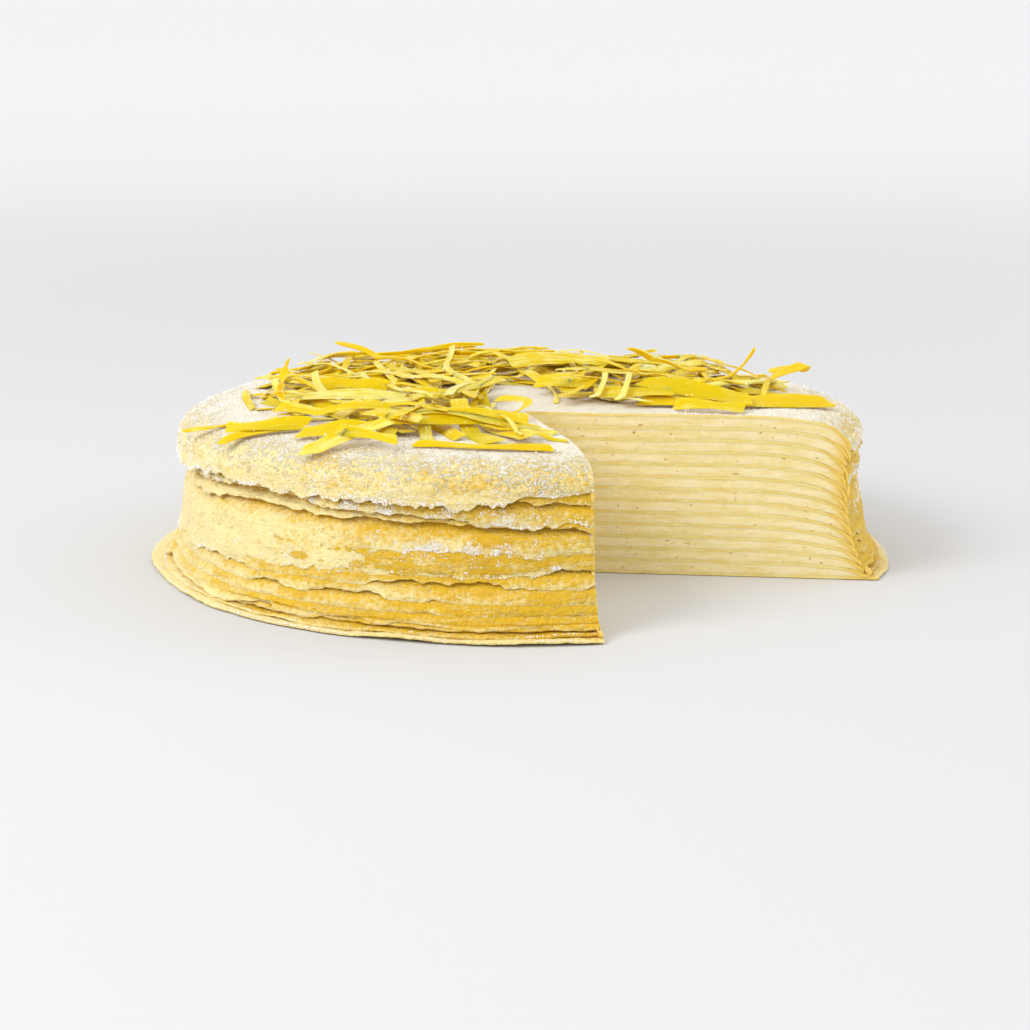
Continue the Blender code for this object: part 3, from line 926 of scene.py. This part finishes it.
def make_strip(name, ground, materials):
    """One loose strip that stands out of the heap or lies clear of it; the heap keeps off one that lies flat."""
    *corners, lifts, width = STRIPS[name]
    share = stations(LOOSE)
    seed = sum(map(ord, name))
    flat, lift, width = through(corners, share) * MM, lift_along(lifts, share), width * MM
    flat[:, 1] += 0.8 * MM * np.sin(share * 7 + seed) * np.sin(math.pi * share)
    rests = ground.rests(flat, level_side(flat), width)
    lies = not np.any(lift)
    spine = np.column_stack([flat, drape(rests, share * length_of(flat), 20.0) + 0.5 * MM + lift])
    if lies:
        roll = (0.36 + 0.16 * np.sin(share * 6 + seed)) * np.sign(flat[-1, 0] - flat[0, 0])
        spine[:, 2] += width / 2 * 0.4
    else:
        roll = 0.3 * np.sin(share * 5 + seed)
    side, up = frame_along(spine, roll)
    widths = width * (1 + 0.12 * np.sin(share * 8 + seed))
    points, looks = ribbon(spine, side, up, widths, 0.8 * MM, 0.06 * width, (0.7, -0.5))
    shell = Shell(*PEEL_LOOKS)
    add_ribbon(shell, points, looks, (seed % 5) / 5 * 0.4, 1, seed)
    piece = shell.make("candied_" + name, materials)
    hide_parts(name)
    if lies:
        ground.closed[ground.raise_to(spine, side, width * 1.6, 0.5 * MM)] = True
    return piece


# ---------------------------------------------------------------- sugar


def make_grains(name, places, size, seed):
    """Small eight-sided grains, each turned and sized at random, as one mesh."""
    rng = np.random.default_rng(seed)
    corners = np.array([(1, 0, 0), (0, 1, 0), (-1, 0, 0), (0, -1, 0), (0, 0, 1), (0, 0, -1)], dtype=float)
    faces = np.array([(0, 1, 4), (1, 2, 4), (2, 3, 4), (3, 0, 4), (1, 0, 5), (2, 1, 5), (3, 2, 5), (0, 3, 5)])
    count = len(places)
    scale = size * rng.lognormal(0, 0.35, count)[:, None, None] * rng.uniform(0.7, 1.3, (count, 1, 3))
    turn = np.linalg.qr(rng.normal(size=(count, 3, 3)))[0]
    turn *= np.sign(np.linalg.det(turn))[:, None, None]
    points = places[:, None] + np.einsum("nij,nkj->nki", turn, corners * scale)
    triangles = (np.arange(count)[:, None, None] * len(corners) + faces).reshape(-1, 3)
    piece = mesh_object(name, points.reshape(-1, 3), triangles.tolist(), [sugar_paint()])
    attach(piece, "root")
    return piece


def outside_wedge(x, y):
    """True where the cake is: outside the missing slice, and 0.3 mm from its cuts."""
    dx, dy = x - SLICE_POINT[0], y - SLICE_POINT[1]
    far = dx * math.sin(FAR_CUT) - dy * math.cos(FAR_CUT)
    near = -dx * math.sin(NEAR_CUT) + dy * math.cos(NEAR_CUT)
    return (far < -0.3 * MM) | (near < -0.3 * MM)


def sprinkle_places(rng, count):
    """Places on the upper face of the top crepe, all but its middle."""
    angle = rng.uniform(-math.pi, math.pi, count * 3)
    radius = np.sqrt(rng.uniform(0.3, 1, count * 3)) * fall_radius(TOP, angle)
    good = outside_wedge(*plan(radius, angle))
    middle, normal = crepe_middle(TOP, radius[good][:count], angle[good][:count])
    return middle + normal * (sizes().crepe_thickness * 0.5)


def side_places(rng, count):
    """Places on the bands of the side that show, in clusters, fewer and fewer towards the foot."""
    places = []
    for level, share in ((TOP, 0.35), (11, 0.25), (9, 0.2), (8, 0.2)):
        number = int(count * share)
        angle = rng.uniform(-math.pi, math.pi, number * 12)
        fall, rim = fall_radius(level, angle), ragged_rim(level, angle)
        radius = fall + (rim - fall) * rng.random(len(angle)) ** (0.8 if level == TOP else 0.5)
        good = outside_wedge(*plan(radius, angle))
        radius, angle = radius[good], angle[good]
        middle, normal = crepe_middle(level, radius, angle)
        shows = middle[:, 2] < cover_height(level, angle) - 0.3 * MM
        clump = noise(middle, 5 * MM, 5) + 0.6 * noise(middle, 1.6 * MM, 6) + rng.normal(0, 0.2, len(angle))
        keep = shows & (clump > 1.0 - 30 * (middle[:, 2] - 14 * MM) * (1 - 0.2 * noise(middle, 20 * MM, 8)))
        places.append((middle + normal * (sizes().crepe_thickness * 0.42))[keep][:number])
    return np.concatenate(places)


def crumb_places(rng, count):
    """Places along the edges of the upper crepes and of the two lowest, in clusters."""
    places = []
    for level, share in ((TOP, 0.38), (11, 0.2), (9, 0.15), (8, 0.1), (1, 0.07), (0, 0.1)):
        number = int(count * share)
        angle = rng.uniform(-math.pi, math.pi, number * 5)
        thick = noise(on_circle(angle, 60 + level), 7 * MM, 5) + rng.normal(0, 0.2, len(angle))
        angle = angle[thick > 0.15][:number]
        radius = ragged_rim(level, angle) - rng.exponential(0.25, len(angle)) * MM
        good = outside_wedge(*plan(radius, angle))
        middle, normal = crepe_middle(level, radius[good], angle[good])
        places.append(middle + normal * (sizes().crepe_thickness * 0.45))
    return np.concatenate(places)


# ---------------------------------------------------------------- materials


class Shade:
    """A number or colour in a material. Sums and products of numbers add Math nodes."""

    def __init__(self, paint, socket):
        self.paint, self.socket = paint, socket

    def maths(self, operation, first, second=0.0):
        return self.paint.node("ShaderNodeMath", {"operation": operation}, {0: first, 1: second, 2: 0.0})

    def __add__(self, other): return self.maths("ADD", self, other)
    def __radd__(self, other): return self.maths("ADD", other, self)
    def __sub__(self, other): return self.maths("SUBTRACT", self, other)
    def __rsub__(self, other): return self.maths("SUBTRACT", other, self)
    def __mul__(self, other): return self.maths("MULTIPLY", self, other)
    def __rmul__(self, other): return self.maths("MULTIPLY", other, self)

    def exp(self):
        return self.maths("EXPONENT", self)

    def unsigned(self):
        return self.maths("ABSOLUTE", self)

    def most(self, other):
        return self.maths("MAXIMUM", self, other)

    def between(self, low, high):
        """0 at low and 1 at high, eased at both ends."""
        return self.paint.node("ShaderNodeMapRange", {"interpolation_type": "SMOOTHSTEP"},
                               {"Value": self, "From Min": low, "From Max": high})


class Paint:
    """A material of one Principled shader."""

    def __init__(self, name):
        self.material = bpy.data.materials.new(name)
        self.material.use_nodes = True
        self.tree = self.material.node_tree
        self.tree.nodes.clear()

    def node(self, kind, settings=None, inputs=None, output=0):
        node = self.tree.nodes.new(kind)
        for key, value in (settings or {}).items():
            setattr(node, key, value)
        for key, value in (inputs or {}).items():
            if isinstance(value, Shade):
                self.tree.links.new(value.socket, node.inputs[key])
            else:
                node.inputs[key].default_value = value
        return Shade(self, node.outputs[output])

    def attribute(self, name):
        return self.node("ShaderNodeAttribute", {"attribute_name": name}, output="Fac")

    def place(self, *scale):
        """Object coordinates in millimetres, stretched by these factors."""
        spot = self.node("ShaderNodeTexCoord", output="Object")
        return self.node("ShaderNodeVectorMath", {"operation": "MULTIPLY"},
                         {0: spot, 1: tuple(1000 * factor for factor in (scale or (1, 1, 1)))})

    def noise(self, place, size, detail=2.0, rough=0.5):
        """Smooth noise around 0.5, whose lumps are about this size."""
        return self.node("ShaderNodeTexNoise", {"normalize": True},
                         {"Vector": place, "Scale": 1 / size, "Detail": detail, "Roughness": rough})

    def mix(self, factor, first, second):
        """From the first colour to the second; each is a Shade or the values of red, green and blue."""
        first, second = (end if isinstance(end, Shade) else (*end, 1) for end in (first, second))
        return self.node("ShaderNodeMix", {"data_type": "RGBA"}, {0: factor, 6: first, 7: second}, output=2)

    def bump(self, height, distance, strength=1.0, normal=None):
        inputs = {"Height": height, "Distance": distance, "Strength": strength}
        if normal:
            inputs["Normal"] = normal
        return self.node("ShaderNodeBump", None, inputs)

    def finish(self, **inputs):
        """Ends in a Principled shader with these sockets; underscores stand for spaces."""
        named = {key.replace("_", " "): value for key, value in inputs.items()}
        shader = self.node("ShaderNodeBsdfPrincipled", None, named)
        output = self.tree.nodes.new("ShaderNodeOutputMaterial")
        self.tree.links.new(shader.socket, output.inputs["Surface"])
        return self.material


def tinted(colour, *factors):
    """A colour times these factors, at most 1."""
    return tuple(min(1.0, part * factor) for part, factor in zip(colour, factors))


def crepe_paint():
    """Thin fried batter: golden under each edge, the folds' own colour and painted shade together, with a darker
    painted shade under the low edges; deeper gold on one side, partly browning and partly painted shade; pale towards
    its own edge, sugared higher up.
    """
    stack_sizes, sugar = sizes(), sizes("sugar")
    paint = Paint("crepe")
    below, edge, toast = paint.attribute("below"), paint.attribute("edge"), paint.attribute("toast")
    below = below.most(0.0)
    place = paint.place()
    height = paint.node("ShaderNodeSeparateXYZ", None, {0: place}, output=2)
    broad = paint.noise(paint.place(1, 1, 1.8), 13, 3)
    fold = paint.noise(paint.place(0.4, 0.4, 3.0), 3.2, 4, 0.6)
    mottle = paint.noise(place, 1.5, 3, 0.6)
    # The golden band under each edge above is partly the folds' own colour and partly painted shade
    gold = (below * -0.3).exp() + (broad - 0.5) * 1.9 + (fold - 0.5) + (mottle - 0.5) * 2.7
    gold = gold + toast * 0.85 - (edge * -0.35).exp() * 0.8
    colour = paint.mix(gold.between(-0.1, 1.25), stack_sizes.pale, stack_sizes.gold)
    # Painted shade: a darker gold just under each edge of the low crepes, most on the deeper gold side
    deep = (below * -0.8).exp() * (toast + 0.75).between(0.0, 1.4)
    shaded_gold = tuple(0.85 * part for part in stack_sizes.gold)
    colour = paint.mix(deep * (1.0 - height.between(26.0, 34.0)) * 0.5, colour, shaded_gold)
    spots = (paint.noise(paint.place(1, 1, 1.8), 4, 5, 0.65) + (broad - 0.5) * 0.6 + toast * 0.05).between(0.58, 0.74)
    colour = paint.mix(spots * 0.28, colour, stack_sizes.brown)
    flake = paint.noise(paint.place(0.3, 0.3, 2.2), 4.5, 3, 0.55)
    flake = 1.0 - ((flake - 0.52) * 30).unsigned().between(0.0, 1.0)
    colour = paint.mix(flake * 0.35, colour, stack_sizes.pale)
    dust = height.between(37.0, 55.0) + height.between(50.0, 54.0) * 0.5 - (below * -0.4).exp() * 0.8
    lumps = paint.noise(place, 1.2, 4, 0.68)
    mask = (lumps + (paint.noise(place, 7, 2) - 0.5) * 0.3 + dust * 0.26 - 0.70).between(-0.06, 0.08)
    dusty = tuple(0.75 * white + 0.25 * pale for white, pale in zip(sugar.colour, stack_sizes.pale))
    colour = paint.mix(mask * 0.9, colour, dusty)
    grain = paint.noise(place, 0.6, 2, 0.7)
    normal = paint.bump(fold + flake * 0.5, 0.0007, 0.6)
    normal = paint.bump(mottle * 1.6 + grain * 0.5 + (grain + lumps) * mask * 0.6, 0.0009, 0.9, normal)
    return paint.finish(Base_Color=colour, Roughness=mask * 0.3 + 0.5, Normal=normal,
                        Subsurface_Weight=0.35, Subsurface_Radius=(1.0, 0.85, 0.5), Subsurface_Scale=0.002,
                        Specular_IOR_Level=0.15)


def cut_crepe_paint():
    """The cut edge of a crepe: soft inside, with a thin browned line at both faces."""
    stack_sizes = sizes()
    paint = Paint("cut_crepe")
    across = paint.attribute("across")
    place = paint.place()
    skin = (across - 0.5) * 2.0
    skin = skin * skin  # 1 at both faces and 0 midway
    patch = paint.noise(paint.place(1, 1, 0.7), 8, 3)
    speck = paint.noise(place, 1.6, 3, 0.6)
    line = (skin * 0.35 + (patch - 0.5) * 2.2 + (speck - 0.5) * 1.2 + 0.35).between(0.0, 1.0)
    pale = tinted(stack_sizes.cream, 1.0, 0.98, 0.85)
    colour = paint.mix(line * 0.42, pale, stack_sizes.gold)
    colour = paint.mix(paint.attribute("past").between(-5.0, 1.0) * 0.6, colour, stack_sizes.gold)
    grain = paint.noise(place, 0.7, 3, 0.6)
    return paint.finish(Base_Color=colour, Roughness=0.6, Normal=paint.bump(grain, 0.0003, 0.6),
                        Subsurface_Weight=0.3, Subsurface_Radius=(1.0, 0.7, 0.3), Subsurface_Scale=0.0015,
                        Specular_IOR_Level=0.35)


def cream_paint():
    """Set pastry cream: pale yellow with faint streaks along the layers and small air holes, darkened by painted
    shade.
    """
    stack_sizes = sizes()
    paint = Paint("cream")
    streak = paint.noise(paint.place(0.6, 0.6, 2.6), 6, 3, 0.55)
    speck = paint.noise(paint.place(1, 1, 1.5), 1.8, 3, 0.6)
    hole = 1.0 - paint.noise(paint.place(1, 1, 1.6), 1.9, 1, 0.4).between(0.23, 0.29)
    shade = ((streak - 0.5) * 2.2 + (speck - 0.5) * 1.2 + 0.55).between(0.05, 1.0)
    warm, pale = tinted(stack_sizes.cream, 0.95, 0.92, 0.76), tinted(stack_sizes.cream, 1.03, 1.05, 1.3)
    colour = paint.mix(shade, warm, pale)
    # Painted shade: the small air holes are darkened towards brown
    colour = paint.mix(hole * 0.85, colour, stack_sizes.brown)
    colour = paint.mix(paint.attribute("past").between(-5.0, 1.0) * 0.75, colour, stack_sizes.gold)
    height = speck * 0.5 + streak * 0.3 - hole * 1.5
    return paint.finish(Base_Color=colour, Roughness=0.5, Normal=paint.bump(height, 0.0004, 0.5),
                        Subsurface_Weight=0.35, Subsurface_Radius=(1.0, 0.8, 0.4), Subsurface_Scale=0.002,
                        Specular_IOR_Level=0.4)


def peel_paint():
    """Candied peel: deep gold or pale, streaked along the strip, damp, a little see-through, sugared at its edges."""
    peel, sugar = sizes("peel"), sizes("sugar")
    paint = Paint("peel")
    tone, side, brink = paint.attribute("tone"), paint.attribute("side"), paint.attribute("brink")
    place = paint.place()
    strip = paint.node("ShaderNodeCombineXYZ", None,
                       {0: paint.attribute("along") * 0.09, 1: paint.attribute("breadth"), 2: tone * 40.0})
    streak = paint.noise(strip, 1.1, 4, 0.6)
    blotch = paint.noise(place, 5, 3, 0.5)
    pale = ((streak - 0.5) * 2.5 + (blotch - 0.5) * 1.4 + tone * 0.95 - side * 0.1).between(0.0, 1.1)
    colour = paint.mix(pale, peel.zest, peel.pith)
    crystals = paint.noise(place, 0.5, 2, 0.6)
    dust = (crystals + (blotch - 0.5) * 0.4 + brink.between(0.75, 1.0) * 0.09).between(0.73, 0.80)
    colour = paint.mix(dust * 0.8, colour, sugar.colour)
    return paint.finish(Base_Color=colour, Roughness=dust * 0.3 + 0.35,
                        Normal=paint.bump(streak * 0.8 + crystals * 0.3 + dust * 0.8, 0.0004, 0.7),
                        Subsurface_Weight=0.75, Subsurface_Radius=(1.0, 0.7, 0.05), Subsurface_Scale=0.004,
                        Specular_IOR_Level=0.06)


def sugar_paint():
    """White sugar, one material for all of its pieces."""
    if "sugar" in bpy.data.materials:
        return bpy.data.materials["sugar"]
    paint = Paint("sugar")
    return paint.finish(Base_Color=(*sizes("sugar").colour, 1), Roughness=0.45,
                        Subsurface_Weight=0.3, Subsurface_Radius=(1.0, 1.0, 1.0), Subsurface_Scale=0.0006)


# ---------------------------------------------------------------- operators

KEY_PLACE = (-1.0, -0.75, 1.0)
FILL_PLACE = (1.2, 0.2, 0.5)
CAMERA_PLACE = (-0.0021, -0.7496, 0.1731)
CAMERA_DIP = 12.1365  # degrees below level


class CREPECAKE_OT_layers(bpy.types.Operator):
    """Make every crepe and the cream between them"""

    bl_idname = "crepecake.layers"
    bl_label = "Crepes and cream"

    def execute(self, context):
        skin, cut, cream = crepe_paint(), cut_crepe_paint(), cream_paint()
        for level in range(CREPES):
            make_crepe(level, [skin, cut])
        for level in range(TOP):
            make_cream(level, [cream])
        return {"FINISHED"}


class CREPECAKE_OT_peel(bpy.types.Operator):
    """Make the heap of candied peel and the loose strips round it"""

    bl_idname = "crepecake.peel"
    bl_label = "Candied peel"

    def execute(self, context):
        paint = peel_paint()
        ground = Ground()
        flat = [name for name in STRIP_NODES if not any(STRIPS[name][3])]
        for name in flat:
            make_strip(name, ground, [paint])
        make_heap(ground, [paint])
        for name in STRIP_NODES:
            if name not in flat:
                make_strip(name, ground, [paint])
        return {"FINISHED"}


class CREPECAKE_OT_sugar(bpy.types.Operator):
    """Sprinkle sugar on the top and along the edges of the crepes"""

    bl_idname = "crepecake.sugar"
    bl_label = "Sugar"

    def execute(self, context):
        rng = np.random.default_rng(3)
        sugar = sizes("sugar")
        make_grains("sugar_top", sprinkle_places(rng, sugar.grains), sugar.grain, 11)
        make_grains("sugar_side", side_places(rng, sugar.side_grains), sugar.grain * 0.8, 13)
        make_grains("sugar_crumbs", crumb_places(rng, sugar.crumbs), sugar.grain * 0.9, 12)
        return {"FINISHED"}


class CREPECAKE_OT_stage(bpy.types.Operator):
    """Make the pale floor, the soft light and the camera"""

    bl_idname = "crepecake.stage"
    bl_label = "Stage"

    def execute(self, context):
        stage = sizes("stage")
        paint = Paint("stage")
        away = paint.node("ShaderNodeVectorMath", {"operation": "LENGTH"}, {0: paint.place()}, output=1)
        # Painted light: lighter further out, where the lamps light the floor less, so that it looks evenly bright
        colour = paint.mix(away.between(300.0, 2500.0), stage.floor, stage.backdrop)
        floor_material = paint.finish(Base_Color=colour, Roughness=0.9, Specular_IOR_Level=0.1)
        rings = np.concatenate([[0], np.geomspace(0.2, 6, 30)])
        turn, ring = np.meshgrid(np.linspace(0, 2 * math.pi, 97), rings, indexing="ij")
        # Flat as far as 1.6 m out, and then rising with the square of the distance
        points = around(ring, turn, -0.0002 + 0.16 * np.maximum(ring - 1.6, 0) ** 2)
        points[-1] = points[0]
        quads = grid_quads(*ring.shape)[:, [0, 3, 2, 1]]
        floor = mesh_object("floor", points.reshape(-1, 3), quads.tolist(), [floor_material])
        floor.data.shade_smooth()

        world = bpy.data.worlds.new("room")
        world.use_nodes = True
        light = world.node_tree.nodes["Background"].inputs
        light["Color"].default_value, light["Strength"].default_value = (1, 1, 1, 1), stage.sky
        context.scene.world = world

        for name, power, size, place in (("key", stage.key, 0.9, KEY_PLACE), ("fill", stage.fill, 0.8, FILL_PLACE)):
            lamp = link(name, bpy.data.lights.new(name, "AREA"))
            lamp.data.energy, lamp.data.size, lamp.data.shape = power, size, "DISK"
            lamp.location, lamp.rotation_euler = place, look_at(place)

        camera = link("camera", bpy.data.cameras.new("camera"))
        camera.data.lens, camera.data.sensor_width = stage.lens, 36
        camera.data.clip_start, camera.data.clip_end = 0.01, 50
        camera.location = CAMERA_PLACE
        camera.rotation_euler = (math.radians(90 - CAMERA_DIP), 0, 0)
        context.scene.camera = camera
        context.scene.view_settings.view_transform = "Standard"
        return {"FINISHED"}


def look_at(place):
    """The turn of a lamp at this place that looks at the middle of the cake."""
    return (Vector((0, 0, 0.03)) - Vector(place)).to_track_quat("-Z", "Y").to_euler()


class CREPECAKE_PT_panel(bpy.types.Panel):
    """The cake's sizes, colours and pieces"""

    bl_idname = "CREPECAKE_PT_panel"
    bl_label = "Crepe cake"
    bl_space_type = "VIEW_3D"
    bl_region_type = "UI"
    bl_category = "Crepe cake"

    def draw(self, context):
        for group, operator in PANEL_ROWS:
            box = self.layout.box()
            for key in getattr(context.scene, group).bl_rna.properties.keys():
                if key not in ("rna_type", "name"):
                    box.prop(getattr(context.scene, group), key)
            box.operator(operator)


PANEL_ROWS = (
    ("crepe_cake_stack", "crepecake.layers"),
    ("crepe_cake_peel", "crepecake.peel"),
    ("crepe_cake_sugar", "crepecake.sugar"),
    ("crepe_cake_stage", "crepecake.stage"),
)
GROUPS = dict(zip([row[0] for row in PANEL_ROWS], (StackSizes, PeelSizes, SugarSizes, StageSizes)))
CLASSES = (*GROUPS.values(), CREPECAKE_OT_layers, CREPECAKE_OT_peel, CREPECAKE_OT_sugar, CREPECAKE_OT_stage,
           CREPECAKE_PT_panel)


def register():
    for item in CLASSES:
        bpy.utils.register_class(item)
    for name, group in GROUPS.items():
        setattr(bpy.types.Scene, name, PointerProperty(type=group))


def unregister():
    for name in GROUPS:
        delattr(bpy.types.Scene, name)
    for item in reversed(CLASSES):
        bpy.utils.unregister_class(item)


def main():
    register()
    bpy.ops.crepecake.layers()
    bpy.ops.crepecake.peel()
    bpy.ops.crepecake.sugar()
    bpy.ops.crepecake.stage()
    bpy.context.view_layer.update()


if __name__ == "__main__":
    main()
